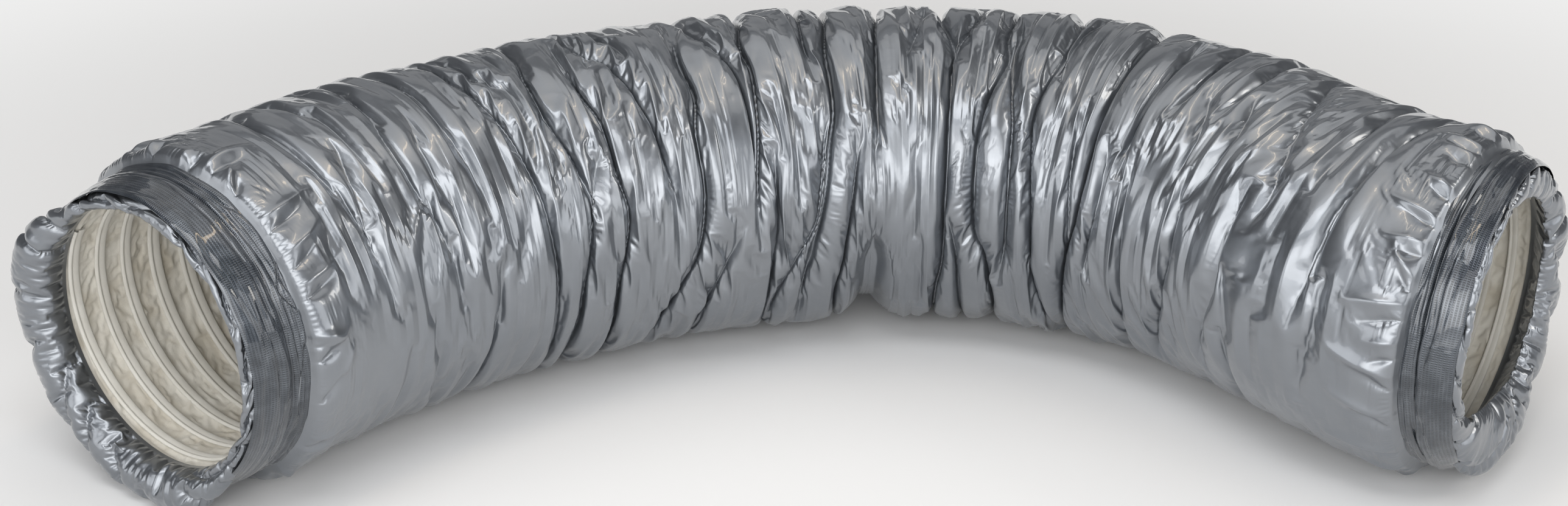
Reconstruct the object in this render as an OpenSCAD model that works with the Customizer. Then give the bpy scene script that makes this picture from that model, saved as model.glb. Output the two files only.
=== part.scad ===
/* [Run] */
// Straight length of the duct behind the left mouth
left_straight = 105; // [100:1:200]
// Centreline radius of the wide bend
wide_r = 1090; // [800:10:2000]
// Turn of the wide bend, to the right
wide_turn = 44; // [20:0.5:60]
// Centreline radius of the tight bend
tight_r = 595; // [560:5:900]
// Turn of the tight bend, to the right
tight_turn = 69.5; // [40:0.5:70]
// Centreline radius of the short bend back
back_r = 450; // [440:5:900]
// Turn of the short bend back, to the left
back_turn = 21.5; // [10:0.5:22]
// Straight length of the duct behind the right mouth
right_straight = 80; // [80:1:200]
// Heading of the duct where it leaves the left mouth, anticlockwise from +X
start_heading = 54; // [50:1:58]
// Centre of the left mouth, seen from above
start_at = [-750, -301]; // [-800:1:800]

/* [Walls] */
// Inside diameter of both mouths, for a 315 mm spigot
mouth_d = 318; // [314:0.5:322]
// Height of the duct's axis above the floor, half its outside diameter
axis_h = 208; // [206:0.5:210]
// Thickness of the film of the jacket and the cuffs
film_t = 1.2; // [0.8:0.1:1.2]
// Thickness of the textile liner
liner_t = 1.2; // [0.8:0.1:1.2]
// Corners round the liner
liner_sides = 20; // [20:4:32]
// Free space between neighbouring layers
layer_gap = 0.3; // [0.2:0.05:0.3]

/* [Helix] */
// Turns of the wire helix and of the tape sewn over it, at 50 about 37 mm apart
helix_turns = 50; // [20:1:50]
// Distance of the helix from each mouth's plane
helix_in = 22; // [21.5:0.5:30]
// Diameter of the spring wire
wire_d = 2.5; // [2:0.1:2.6]
// Width of the sewn tape
tape_strip_w = 13; // [12:0.5:14]
// Height of the sewn tape where it runs over the wire
tape_strip_h = 4.3; // [4.2:0.1:4.6]
// Thickness of the sewn tape at its ridge
tape_strip_t = 1; // [0.6:0.1:1]

/* [Jacket folds] */
// Folds of the jacket along the run
folds = 19; // [8:1:19]
// Corners round the jacket and the wool under it
jacket_sides = 24; // [24:4:32]
// Radius over the fold crests
crest_r = 210.3; // [210:0.1:211]
// Radius in the creases on the outside of a bend
crease_r = 199; // [198:0.5:203]
// Depth that the creases gain on the inside of a bend
crease_pinch = 6; // [0:0.5:6]
// Distance along the run of the corner where the duct is squeezed hardest
corner_at = 1000; // [900:10:1200]
// Depth that the crease nearest to this corner gains inside the bend
corner_pinch = 10; // [0:0.5:10]
// Sideways wander of a fold round the duct
fold_wander = 9; // [0:0.5:10]
// Depth of the small pleats where the tape gathers the jacket
pleat_h = 4; // [0:0.5:5]

/* [Mouths] */
// Length of the taped collar at each mouth, left and right
collar_len = [68, 52]; // [50:1:70]
// Radius of the collar at its front and back edge
collar_r = [176, 188]; // [170:1:190]
// Outside diameter of the rolled cuff, left and right
cuff_d = [406, 384]; // [376:1:410]
// Distance of the cuff's crest in front of the mouth's plane, left and right
cuff_front = [28, 20]; // [18:1:30]
// Depth that the cuff's film is tucked into the mouth
tuck_depth = 14; // [12:0.5:14]
// Thickness of a wrap of the scrim tape
wrap_t = 1; // [0.6:0.1:1]
// Length of the front wrap hidden over the rear one
wrap_overlap = 20; // [15:1:24]

/* [Hidden] */
$fn = 180;

LEFT = 0;
RIGHT = 1;

mouth_r = mouth_d / 2;
foot_r = mouth_r + film_t;

// Most that the straight steps of the liner and the wool cut inside a bend
liner_sag = 1.2;
wool_sag = 2.4;
// Corner radii of the liner and the wool, whose flats stay clear of what they go round
liner_r = (foot_r + liner_sag + layer_gap) / cos(180 / liner_sides);
wool_r = (liner_r + liner_t + wool_sag + layer_gap) / cos(180 / jacket_sides);

// Stretches of the centreline as [length, turn], a turn to the right above 0
ROUTE = [
    [left_straight, 0],
    [wide_r * wide_turn * PI / 180, wide_turn],
    [tight_r * tight_turn * PI / 180, tight_turn],
    [back_r * back_turn * PI / 180, -back_turn],
    [right_straight, 0]
];
STARTS = [for (i = 0, p = [start_at.x, start_at.y, start_heading];
    i < len(ROUTE);
    p = advance(p, ROUTE[i][0], ROUTE[i][1]), i = i + 1) p];
ENDS_AT = [for (i = 0, s = ROUTE[0][0];
    i < len(ROUTE);
    i = i + 1, s = i < len(ROUTE) ? s + ROUTE[i][0] : s) s];
run_len = ENDS_AT[len(ROUTE) - 1];

// Place and heading after going a length with a turn
function advance(p, length, turn) =
    turn == 0
        ? [p.x + length * cos(p.z), p.y + length * sin(p.z), p.z]
        : let (r = length * 180 / (PI * turn), h = p.z - turn)
            [p.x + r * (sin(p.z) - sin(h)), p.y - r * (cos(p.z) - cos(h)), h];

// Number of the stretch that holds a distance along the centreline
function stretch(s, i = 0) = i == len(ROUTE) - 1 || s <= ENDS_AT[i] ? i : stretch(s, i + 1);

// Place and heading at a distance along the centreline
function at(s) =
    let (i = stretch(s), gone = s - (ENDS_AT[i] - ROUTE[i][0]))
        advance(STARTS[i], gone, ROUTE[i][1] * gone / ROUTE[i][0]);

// Direction of travel at a distance along the centreline
function travel(s) = let (h = at(s).z) [cos(h), sin(h), 0];

// Outward direction at an angle round the duct, from its left side towards the top
function outward(s, a) = let (h = at(s).z) [-cos(a) * sin(h), cos(a) * cos(h), sin(a)];

// Point at a radius and an angle round the duct
function around(s, r, a) = let (p = at(s)) [p.x, p.y, axis_h] + r * outward(s, a);

// Two triangles between corners a, b of one ring and c, d of the next, split from b to c or from a to d
function split(a, b, c, d, crossed) = crossed ? [[b, a, d], [a, c, d]] : [[b, a, c], [b, c, d]];

// Faces that join ring i to ring k, of m corners each
function ring_faces(i, k, m, crossed = false) = joined([for (j = [0:m - 1])
    split(i * m + j, i * m + (j + 1) % m, k * m + j, k * m + (j + 1) % m, crossed)]);

// Faces of a solid tube of n rings, with flat ends
function rod_faces(n, m) = concat(
    joined([for (i = [0:n - 2]) ring_faces(i, i + 1, m)]),
    [for (j = [1:m - 2]) [0, j, j + 1]],
    [for (j = [1:m - 2]) [(n - 1) * m, (n - 1) * m + j + 1, (n - 1) * m + j]]
);

function joined(rings) = [for (ring = rings) each ring];

// Distances along the run of a smooth tube's rings, whose steps cut at most sag inside a bend
function ring_places(sag) = concat(
    [left_straight],
    joined([for (i = [1:len(ROUTE) - 2])
        let (turn = abs(ROUTE[i][1]) * PI / 180,
            steps = ceil(turn * sqrt((ROUTE[i][0] / turn + wool_r) / (8 * sag))))
            [for (n = [1:steps]) ENDS_AT[i] - ROUTE[i][0] * (1 - n / steps)]])
);

// A round ring of corners about the centreline
function corner(j, sides) = (j + 0.5) * 360 / sides;
function round_ring(s, r, sides) = [for (j = [0:sides - 1]) around(s, r, corner(j, sides))];

// A hollow tube of corner rings: along its outside, and back along its inside
module hollow_tube(outer, inner, sides) {
    rings = concat(outer, [for (i = [len(inner) - 1:-1:0]) inner[i]]);
    n = len(rings);
    polyhedron(
        joined(rings),
        joined([for (i = [0:n - 1]) ring_faces(i, (i + 1) % n, sides, i >= len(outer))])
    );
}

// Children stand on a mouth's plane, with +Z out of the duct
module at_mouth(end) {
    p = at(end == LEFT ? 0 : run_len);
    translate([p.x, p.y, axis_h])
        rotate([0, 90, p.z + (end == LEFT ? 180 : 0)])
            children();
}

/* Mouth profile, as [radius, distance out of the mouth's plane] */

cuff_mid = 4;
collar_front = 7;
cuff_tail = 22;

// Radius of the conical collar under the wraps
function collar(end, depth) =
    collar_r[0] + (collar_r[1] - collar_r[0]) * (depth - collar_front) / (collar_len[end] - collar_front);

// The cuff's section, a distance t inside its outer face: up from the collar, over the crest, into the mouth
function roll(end, t, step = 15) =
    let (r = cuff_d[end] / 2, mid_r = (r + mouth_r) / 2)
        concat(
            [for (a = [-90:step:0])
                [collar_r[0] - t + (r - collar_r[0]) * cos(a),
                    cuff_mid + (cuff_mid + collar_front - t) * sin(a)]],
            [for (a = [step:step:180])
                [mid_r + (r - mid_r - t) * cos(a), cuff_mid + (cuff_front[end] - cuff_mid - t) * sin(a)]]
        );

// A band laid on the collar between two depths, a height h above it
function band(end, front, back, h) = [
    [collar(end, front) + h, -front],
    [collar(end, back) + h, -back],
    [collar(end, back) + h + wrap_t, -back],
    [collar(end, front) + h + wrap_t, -front]
];

// The wool's outline at one end, from its lip inside the cuff to the front of the collar
wool_gap = film_t + 0.6;
wool_lip = 7;
function wool_end(end) =
    let (bulge = [for (p = roll(end, wool_gap, 30)) if (p[0] > wool_r + 3) p], last = len(bulge) - 1)
        concat([[wool_r, bulge[last][1] - wool_lip]], [for (i = [last:-1:0]) bulge[i]]);

module cuff(end) {
    inner = roll(end, film_t);
    tail = collar_front + cuff_tail;
    at_mouth(end)
        rotate_extrude()
            polygon(concat(
                [[collar(end, tail), -tail]],
                roll(end, 0),
                [[mouth_r, -tuck_depth], [mouth_r + film_t, -tuck_depth]],
                [for (i = [len(inner) - 1:-1:0]) inner[i]],
                [[collar(end, tail) - film_t, -tail]]
            ));
}

function rear_front(end) = (collar_len[end] - wrap_overlap) / 2;

module rear_wrap(end) {
    at_mouth(end)
        rotate_extrude()
            polygon(band(end, rear_front(end), collar_len[end], layer_gap));
}

// The front wrap lies on the collar and steps up over the rear wrap
module front_wrap(end) {
    low = band(end, collar_front + 1, rear_front(end) - 4, layer_gap);
    high = band(end, rear_front(end) - 1, rear_front(end) + wrap_overlap, 2 * layer_gap + wrap_t);
    at_mouth(end)
        rotate_extrude()
            polygon([low[0], low[1], high[0], high[1], high[2], high[3], low[2], low[3]]);
}

/* Helix */

STEPS_PER_TURN = 12;
helix_rings = helix_turns * STEPS_PER_TURN;

// Distance along the run and angle of the helix at a ring; it winds to the left
function helix_s(k) = helix_in + (run_len - 2 * helix_in) * k / helix_rings;
function helix_a(k) = 36 - 360 * k / STEPS_PER_TURN;

// A section of [along the duct, in from the liner] points carried round the helix
function wound(section) = [for (k = [0:helix_rings])
    [for (q = section)
        around(helix_s(k), foot_r - q.y, helix_a(k)) + q.x * travel(helix_s(k))]];

STRIP_SECTION = [
    [0, tape_strip_h - tape_strip_t],
    [tape_strip_w / 2, 0],
    [0, tape_strip_h],
    [-tape_strip_w / 2, 0]
];
WIRE_SECTION = [for (a = [0:90:270])
    [wire_d / 2 * cos(a), layer_gap / 2 + wire_d / 2 + wire_d / 2 * sin(a)]];

// Least distance between the points of a winding and those one turn further on
function least_gap(rings) = min([for (k = [0:len(rings) - STEPS_PER_TURN - 2])
    for (next = [-1:1])
        for (p = rings[k], q = rings[k + STEPS_PER_TURN + next]) norm(p - q)]);

/* Jacket */

jacket_tail = collar_front + cuff_tail + 3;
fold_from = collar_len[0] + 14;
fold_len = (run_len - fold_from - collar_len[1] - 14) / folds;

// How far a side of the duct lies on the inside of the bend there, from 0 to 1
function inside(s, a) =
    let (turn = ROUTE[stretch(s)][1])
        turn == 0 ? 0.4 : 0.5 - 0.5 * cos(a) * sign(turn);

// Radius in a crease and over the crest that follows it
function crease(k, a) =
    let (s = fold_from + (k + 1) * fold_len, near = max(0, 1 - abs(s - corner_at) / fold_len))
        crease_r - (crease_pinch + near * corner_pinch) * inside(s, a) + 1.5 * sin(2 * a + 83 * k);
function crest(k, a) = crest_r - (1 + sin(a)) * (1 + sin(3 * a + 131 * k));

// How far a fold wanders along the duct on one side of it
function wander(k, a) = fold_wander * sin(a + 137 * k) * (k % 3 + 1) / 3;

// Pleats that die out away from the collar
function pleat(j) = j % 2 == 0 ? -pleat_h : 0;

// Jacket rings as [distance along the run, radius] for each corner j
function fold_ring(k, share, crested) = [for (j = [0:jacket_sides - 1])
    let (a = corner(j, jacket_sides), s = fold_from + (k + share) * fold_len + wander(k + share, a))
        [s, crested ? crest(k, a) : crease(k, a)]];
function plain_ring(s, r, pleated) = [for (j = [0:jacket_sides - 1])
    [s, r + (pleated ? pleat(j) : 0)]];

JACKET = concat(
    [plain_ring(jacket_tail, collar(LEFT, jacket_tail), false)],
    [plain_ring(collar_len[0] + 1, collar_r[1], false)],
    [plain_ring(fold_from - 4, crease_r + 2, true)],
    joined([for (k = [0:folds - 1]) k == folds - 1
        ? [fold_ring(k, 0.45, true)]
        : [fold_ring(k, 0.45, true), fold_ring(k, 1, false)]]),
    [plain_ring(run_len - collar_len[1] - 10, crease_r + 2, true)],
    [plain_ring(run_len - collar_len[1] - 1, collar_r[1], false)],
    [plain_ring(run_len - jacket_tail, collar(RIGHT, jacket_tail), false)]
);

// The film's outer face never dips below the floor; a face at depth t inside it follows it
function on_floor(p) = [p.x, p.y, max(p.z, 0)];
function film(ring, t) = [for (j = [0:jacket_sides - 1])
    let (s = ring[j][0], a = corner(j, jacket_sides))
        on_floor(around(s, ring[j][1], a)) - t * outward(s, a)];

module outer_jacket() {
    color("silver")
        hollow_tube(
            [for (ring = JACKET) film(ring, 0)],
            [for (ring = JACKET) film(ring, film_t)],
            jacket_sides
        );
}

// The wool fills the jacket's folds, narrows under the collars and swells in the cuffs
module insulation_blanket() {
    left_end = [for (p = wool_end(LEFT)) round_ring(-p[1], p[0], jacket_sides)];
    right_end = [for (p = wool_end(RIGHT)) round_ring(run_len + p[1], p[0], jacket_sides)];
    color("khaki")
        hollow_tube(
            concat(
                left_end,
                [for (i = [1:len(JACKET) - 2]) film(JACKET[i], wool_gap)],
                [for (i = [len(right_end) - 1:-1:0]) right_end[i]]
            ),
            [for (s = ring_places(wool_sag)) round_ring(s, wool_r, jacket_sides)],
            jacket_sides
        );
}

module inner_liner() {
    places = concat([0], ring_places(liner_sag), [run_len]);
    color("antiquewhite")
        hollow_tube(
            [for (s = places) round_ring(s, liner_r + liner_t, liner_sides)],
            [for (s = places) round_ring(s, liner_r, liner_sides)],
            liner_sides
        );
}

module helix_wire() {
    rings = wound(WIRE_SECTION);
    color("dimgray")
        polyhedron(joined(rings), rod_faces(len(rings), 4));
    echo(wire_gap = least_gap(rings));
}

module helix_strip() {
    rings = wound(STRIP_SECTION);
    color("ivory")
        polyhedron(joined(rings), rod_faces(len(rings), 4));
    echo(strip_gap = least_gap(rings));
}

module left_cuff() {
    color("lightsteelblue")
        cuff(LEFT);
}

module left_rear_wrap() {
    color("dimgray")
        rear_wrap(LEFT);
}

module left_front_wrap() {
    color("gray")
        front_wrap(LEFT);
}

module right_cuff() {
    color("lightsteelblue")
        cuff(RIGHT);
}

module right_rear_wrap() {
    color("dimgray")
        rear_wrap(RIGHT);
}

module right_front_wrap() {
    color("gray")
        front_wrap(RIGHT);
}

outer_jacket();
insulation_blanket();
inner_liner();
helix_wire();
helix_strip();
left_cuff();
left_rear_wrap();
left_front_wrap();
right_cuff();
right_rear_wrap();
right_front_wrap();
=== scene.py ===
import math

import bpy
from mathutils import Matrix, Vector
import numpy as np


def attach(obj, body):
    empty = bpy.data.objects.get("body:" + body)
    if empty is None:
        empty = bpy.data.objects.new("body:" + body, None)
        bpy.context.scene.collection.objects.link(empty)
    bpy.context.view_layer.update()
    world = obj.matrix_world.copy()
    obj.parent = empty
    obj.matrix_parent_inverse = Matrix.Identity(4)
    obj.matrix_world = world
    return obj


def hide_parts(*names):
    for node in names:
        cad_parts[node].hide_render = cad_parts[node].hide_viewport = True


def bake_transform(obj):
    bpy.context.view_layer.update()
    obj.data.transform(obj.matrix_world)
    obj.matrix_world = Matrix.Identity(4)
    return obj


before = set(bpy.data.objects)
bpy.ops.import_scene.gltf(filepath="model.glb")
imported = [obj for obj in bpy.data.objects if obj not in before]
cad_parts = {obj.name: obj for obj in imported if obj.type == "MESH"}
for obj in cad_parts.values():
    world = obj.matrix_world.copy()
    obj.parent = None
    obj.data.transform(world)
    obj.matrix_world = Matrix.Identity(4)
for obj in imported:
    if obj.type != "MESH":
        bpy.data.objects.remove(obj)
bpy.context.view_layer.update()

# ---------------------------------------------------------------- camera, light and floor
# fitted to the photograph's two mouths and floor line
EYE = (-0.0378, -2.5744, 1.366)
PITCH = math.radians(24.7)
FOCAL_PX = 3730.0
FRAME_W = 2576.0


def make_camera():
    data = bpy.data.cameras.new("camera")
    data.sensor_width = 36.0
    data.lens = 36.0 * FOCAL_PX / FRAME_W
    data.shift_y = -6.0 / FRAME_W
    cam = bpy.data.objects.new("camera", data)
    cam.location = EYE
    cam.rotation_euler = (math.pi / 2 - PITCH, 0, 0)
    bpy.context.scene.collection.objects.link(cam)
    bpy.context.scene.camera = cam


def area_light(name, place, aim, size, watts, colour=(1, 1, 1)):
    data = bpy.data.lights.new(name, "AREA")
    data.shape = "RECTANGLE"
    data.size, data.size_y = size
    data.energy = watts
    data.color = colour
    lamp = bpy.data.objects.new(name, data)
    lamp.location = place
    way = Vector(aim) - Vector(place)
    lamp.rotation_euler = way.to_track_quat("-Z", "Y").to_euler()
    bpy.context.scene.collection.objects.link(lamp)


def make_light():
    bpy.context.scene.view_settings.view_transform = "Standard"
    area_light("front", (-0.3, -4.4, 1.9), (0, 0, 0.25), (5.8, 4.2), 124)
    area_light("front_core", (-0.6, -4.2, 1.9), (0, 0, 0.25), (3.8, 2.1), 54, (1.0, 0.985, 0.96))
    area_light("key", (-0.5, -1.5, 3.1), (0, 0, 0.2), (2.6, 1.1), 38)
    area_light("top", (0.0, 0.8, 3.4), (0, 0.1, 0), (5.0, 3.0), 42, (1.0, 0.99, 0.97))
    area_light("back", (0.0, 3.6, 1.9), (0, 0, 0.2), (5.0, 1.6), 8)
    area_light("warm", (0.2, -0.1, 3.1), (0, 0, 0.2), (1.8, 0.12), 5.0, (1.0, 0.79, 0.55))
    area_light("front_right", (4.2, -2.4, 1.8), (0, 0, 0.25), (3.2, 3.2), 62)
    area_light("front_left", (-4.4, -2.6, 1.8), (0, 0, 0.25), (3.0, 3.0), 58)
    area_light("side", (3.0, -0.5, 2.0), (0.4, 0, 0.2), (0.4, 1.2), 12, (1.0, 0.95, 0.88))
    world = bpy.data.worlds.new("world")
    bpy.context.scene.world = world
    world.use_nodes = True
    world.node_tree.nodes["Background"].inputs["Color"].default_value = (0.11, 0.113, 0.12, 1)


def add_node(tree, kind, inputs, **settings):
    """A shader node with its settings, each input set to a value or joined to a socket."""
    node = tree.nodes.new("ShaderNode" + kind)
    for key, value in settings.items():
        setattr(node, key, value)
    for key, value in inputs.items():
        if isinstance(value, bpy.types.NodeSocket):
            tree.links.new(value, node.inputs[key])
        else:
            node.inputs[key].default_value = value
    return node


WHITER = (0.8, 2.1)     # metres from the middle where the paper starts to whiten, and where it is whitest
PAPER = (0.785, 0.97)   # how white it is at these two
PALER = (1.25, 2.4)     # metres from the middle where it starts to show pale, and where it shows nothing else


def make_floor():
    mesh = bpy.data.meshes.new("floor")
    far, near = 60.0, -60.0
    mesh.from_pydata([(near, near, 0), (far, near, 0), (far, far, 0), (near, far, 0)], [], [(0, 1, 2, 3)])
    floor = bpy.data.objects.new("floor", mesh)
    bpy.context.scene.collection.objects.link(floor)
    mat = bpy.data.materials.new("floor_paper")
    mat.use_nodes = True
    nt = mat.node_tree
    bsdf = nt.nodes["Principled BSDF"]
    # whiter paper away from the duct, where the lamps reach it less
    coord = add_node(nt, "TexCoord", {})
    far_off = add_node(nt, "VectorMath", {0: coord.outputs["Object"]}, operation="LENGTH").outputs["Value"]
    spread = add_node(nt, "MapRange", {"Value": far_off, "From Min": WHITER[0], "From Max": WHITER[1],
                                       "To Min": PAPER[0], "To Max": PAPER[1]})
    nt.links.new(spread.outputs["Result"], bsdf.inputs["Base Color"])
    # beyond the lamps' reach the paper shows pale to the eye, to metal and to glass, and lights nothing else
    beyond = add_node(nt, "MapRange", {"Value": far_off, "From Min": PALER[0], "From Max": PALER[1]},
                      interpolation_type="SMOOTHSTEP")
    path = add_node(nt, "LightPath", {})
    seen = path.outputs["Is Camera Ray"]
    for ray in ("Is Glossy Ray", "Is Transmission Ray"):
        seen = add_node(nt, "Math", {0: seen, 1: path.outputs[ray]}, operation="MAXIMUM").outputs["Value"]
    share = add_node(nt, "Math", {0: beyond.outputs["Result"], 1: seen}, operation="MULTIPLY")
    pale = add_node(nt, "Emission", {"Color": (0.88, 0.88, 0.875, 1)})
    mix = add_node(nt, "MixShader", {"Fac": share.outputs["Value"], 1: bsdf.outputs["BSDF"],
                                     2: pale.outputs["Emission"]})
    nt.links.new(mix.outputs["Shader"], nt.nodes["Material Output"].inputs["Surface"])
    bsdf.inputs["Roughness"].default_value = 0.9
    bsdf.inputs["Specular IOR Level"].default_value = 0.1
    mesh.materials.append(mat)


# ---------------------------------------------------------------- the duct's centreline
# as part.scad has it: height of the axis, and arc radius (or straight length) with the turn in degrees
AXIS_H = 0.208
STRETCHES = [(0.105, 0.0), (1.090, 44.0), (0.595, 69.5), (0.450, -21.5), (0.080, 0.0)]
START = (-0.750, -0.301, math.radians(54.0))


def stretch_list():
    """Each stretch as start place and heading, length and turn in radians, right above 0."""
    out, x, y, h = [], *START
    for size, turn in STRETCHES:
        t = math.radians(turn)
        length = size * abs(t) if t else size
        out.append((x, y, h, length, t))
        if t:
            r = length / t
            h2 = h - t
            x, y, h = x + r * (math.sin(h) - math.sin(h2)), y - r * (math.cos(h) - math.cos(h2)), h2
        else:
            x, y = x + length * math.cos(h), y + length * math.sin(h)
    return out


RUN = stretch_list()
RUN_LEN = sum(part[3] for part in RUN)


def at(s):
    """Places and headings at distances s along the centreline, in metres."""
    s = np.asarray(s, float)
    x, y, h = np.zeros_like(s), np.zeros_like(s), np.zeros_like(s)
    begin = 0.0
    for i, (x0, y0, h0, length, t) in enumerate(RUN):
        low = -1e9 if i == 0 else begin
        high = 1e9 if i == len(RUN) - 1 else begin + length
        inside = (s >= low) & (s < high)
        g = s[inside] - begin
        if t:
            r = length / t
            h1 = h0 - t * g / length
            x[inside] = x0 + r * (math.sin(h0) - np.sin(h1))
            y[inside] = y0 - r * (math.cos(h0) - np.cos(h1))
            h[inside] = h1
        else:
            x[inside] = x0 + g * math.cos(h0)
            y[inside] = y0 + g * math.sin(h0)
            h[inside] = h0
        begin += length
    return x, y, h


def around(s, r, a):
    """Points at radius r and angle a (radians) round the duct, from its left side over the top."""
    s, r, a = np.broadcast_arrays(s, r, a)
    x, y, h = at(s)
    side = r * np.cos(a)
    return np.stack([x - side * np.sin(h), y + side * np.cos(h), AXIS_H + r * np.sin(a)], -1)


# ---------------------------------------------------------------- mesh and noise helpers
def grid_object(name, points, materials=(), uv=None, flip=False):
    """A mesh over an n by m grid of points, joined round in the second direction."""
    n, m = points.shape[:2]
    mesh = bpy.data.meshes.new(name)
    i = np.arange(n - 1)[:, None]
    j = np.arange(m)[None, :]
    k = (j + 1) % m
    quads = np.stack([i * m + j, i * m + k, (i + 1) * m + k, (i + 1) * m + j], -1).reshape(-1, 4)
    if flip:
        quads = quads[:, ::-1]
    mesh.vertices.add(n * m)
    mesh.vertices.foreach_set("co", points.reshape(-1).astype(np.float32))
    mesh.loops.add(quads.size)
    mesh.loops.foreach_set("vertex_index", quads.reshape(-1).astype(np.int32))
    mesh.polygons.add(len(quads))
    mesh.polygons.foreach_set("loop_start", np.arange(0, quads.size, 4, dtype=np.int32))
    mesh.update()
    mesh.validate()
    mesh.polygons.foreach_set("use_smooth", np.ones(len(quads), bool))
    if uv is not None:
        # corners of the closing column take the next turn's coordinate
        layer = mesh.uv_layers.new(name="UVMap")
        u, v = uv
        qi = np.stack([i + 0 * j, i + 0 * j, i + 1 + 0 * j, i + 1 + 0 * j], -1).reshape(-1, 4)
        qj = np.stack([j + 0 * i, j + 1 + 0 * i, j + 1 + 0 * i, j + 0 * i], -1).reshape(-1, 4)
        if flip:
            qi, qj = qi[:, ::-1], qj[:, ::-1]
        flat = np.stack([u[qi.reshape(-1)], v[qj.reshape(-1)]], -1)
        layer.data.foreach_set("uv", flat.reshape(-1).astype(np.float32))
    for mat in materials:
        mesh.materials.append(mat)
    obj = bpy.data.objects.new(name, mesh)
    bpy.context.scene.collection.objects.link(obj)
    return obj


def grid_of(s_mm, count):
    """Distance and angle at each point of a grid, and the angle as a share of the turn."""
    a = np.arange(count) * 2 * math.pi / count
    s_grid, a_grid = np.meshgrid(s_mm, a, indexing="ij")
    return s_grid, a_grid, a_grid / (2 * math.pi)


def two_halves(name, points, s_mm, material, flip=False):
    """A long piece as two meshes that meet at the seam."""
    cut = int(np.argmin(np.abs(s_mm - SEAM_MM)))
    return [grid_object(f"{name}_{side}_half", part, materials=[material], flip=flip)
            for side, part in (("left", points[:cut + 1]), ("right", points[cut:]))]


class Noise:
    """Gradient noise that repeats after a whole number of cells in its second direction."""

    def __init__(self, seed, period):
        rng = np.random.default_rng(seed)
        turn = rng.uniform(0, 2 * math.pi, (64, period))
        self.gx, self.gy, self.period = np.cos(turn), np.sin(turn), period

    def __call__(self, x, y):
        """x in cells, y as a share of the full turn."""
        y = y * self.period
        xi, yi = np.floor(x).astype(int), np.floor(y).astype(int)
        fx, fy = x - xi, y - yi
        wx = fx * fx * fx * (fx * (fx * 6 - 15) + 10)
        wy = fy * fy * fy * (fy * (fy * 6 - 15) + 10)
        out = 0
        for dx in (0, 1):
            for dy in (0, 1):
                p, q = (xi + dx) % 64, (yi + dy) % self.period
                dot = self.gx[p, q] * (fx - dx) + self.gy[p, q] * (fy - dy)
                out = out + dot * (wx if dx else 1 - wx) * (wy if dy else 1 - wy)
        return out * 1.6


def smooth_path(points, steps=5):
    """A Catmull-Rom line through points."""
    p = np.array(points, float)
    if len(p) < 3:
        t = np.linspace(0, 1, 4)[:, None]
        return p[0] + (p[-1] - p[0]) * t
    p = np.vstack([2 * p[0] - p[1], p, 2 * p[-1] - p[-2]])
    out = []
    for i in range(1, len(p) - 2):
        for t in np.arange(steps) / steps:
            a, b, c, d = p[i - 1:i + 3]
            out.append(0.5 * (2 * b + (c - a) * t + (2 * a - 5 * b + 4 * c - d) * t ** 2
                              + (3 * b - a - 3 * c + d) * t ** 3))
    out.append(p[-2])
    return np.array(out)


def eased(t):
    return t * t * (3 - 2 * t)


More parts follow.
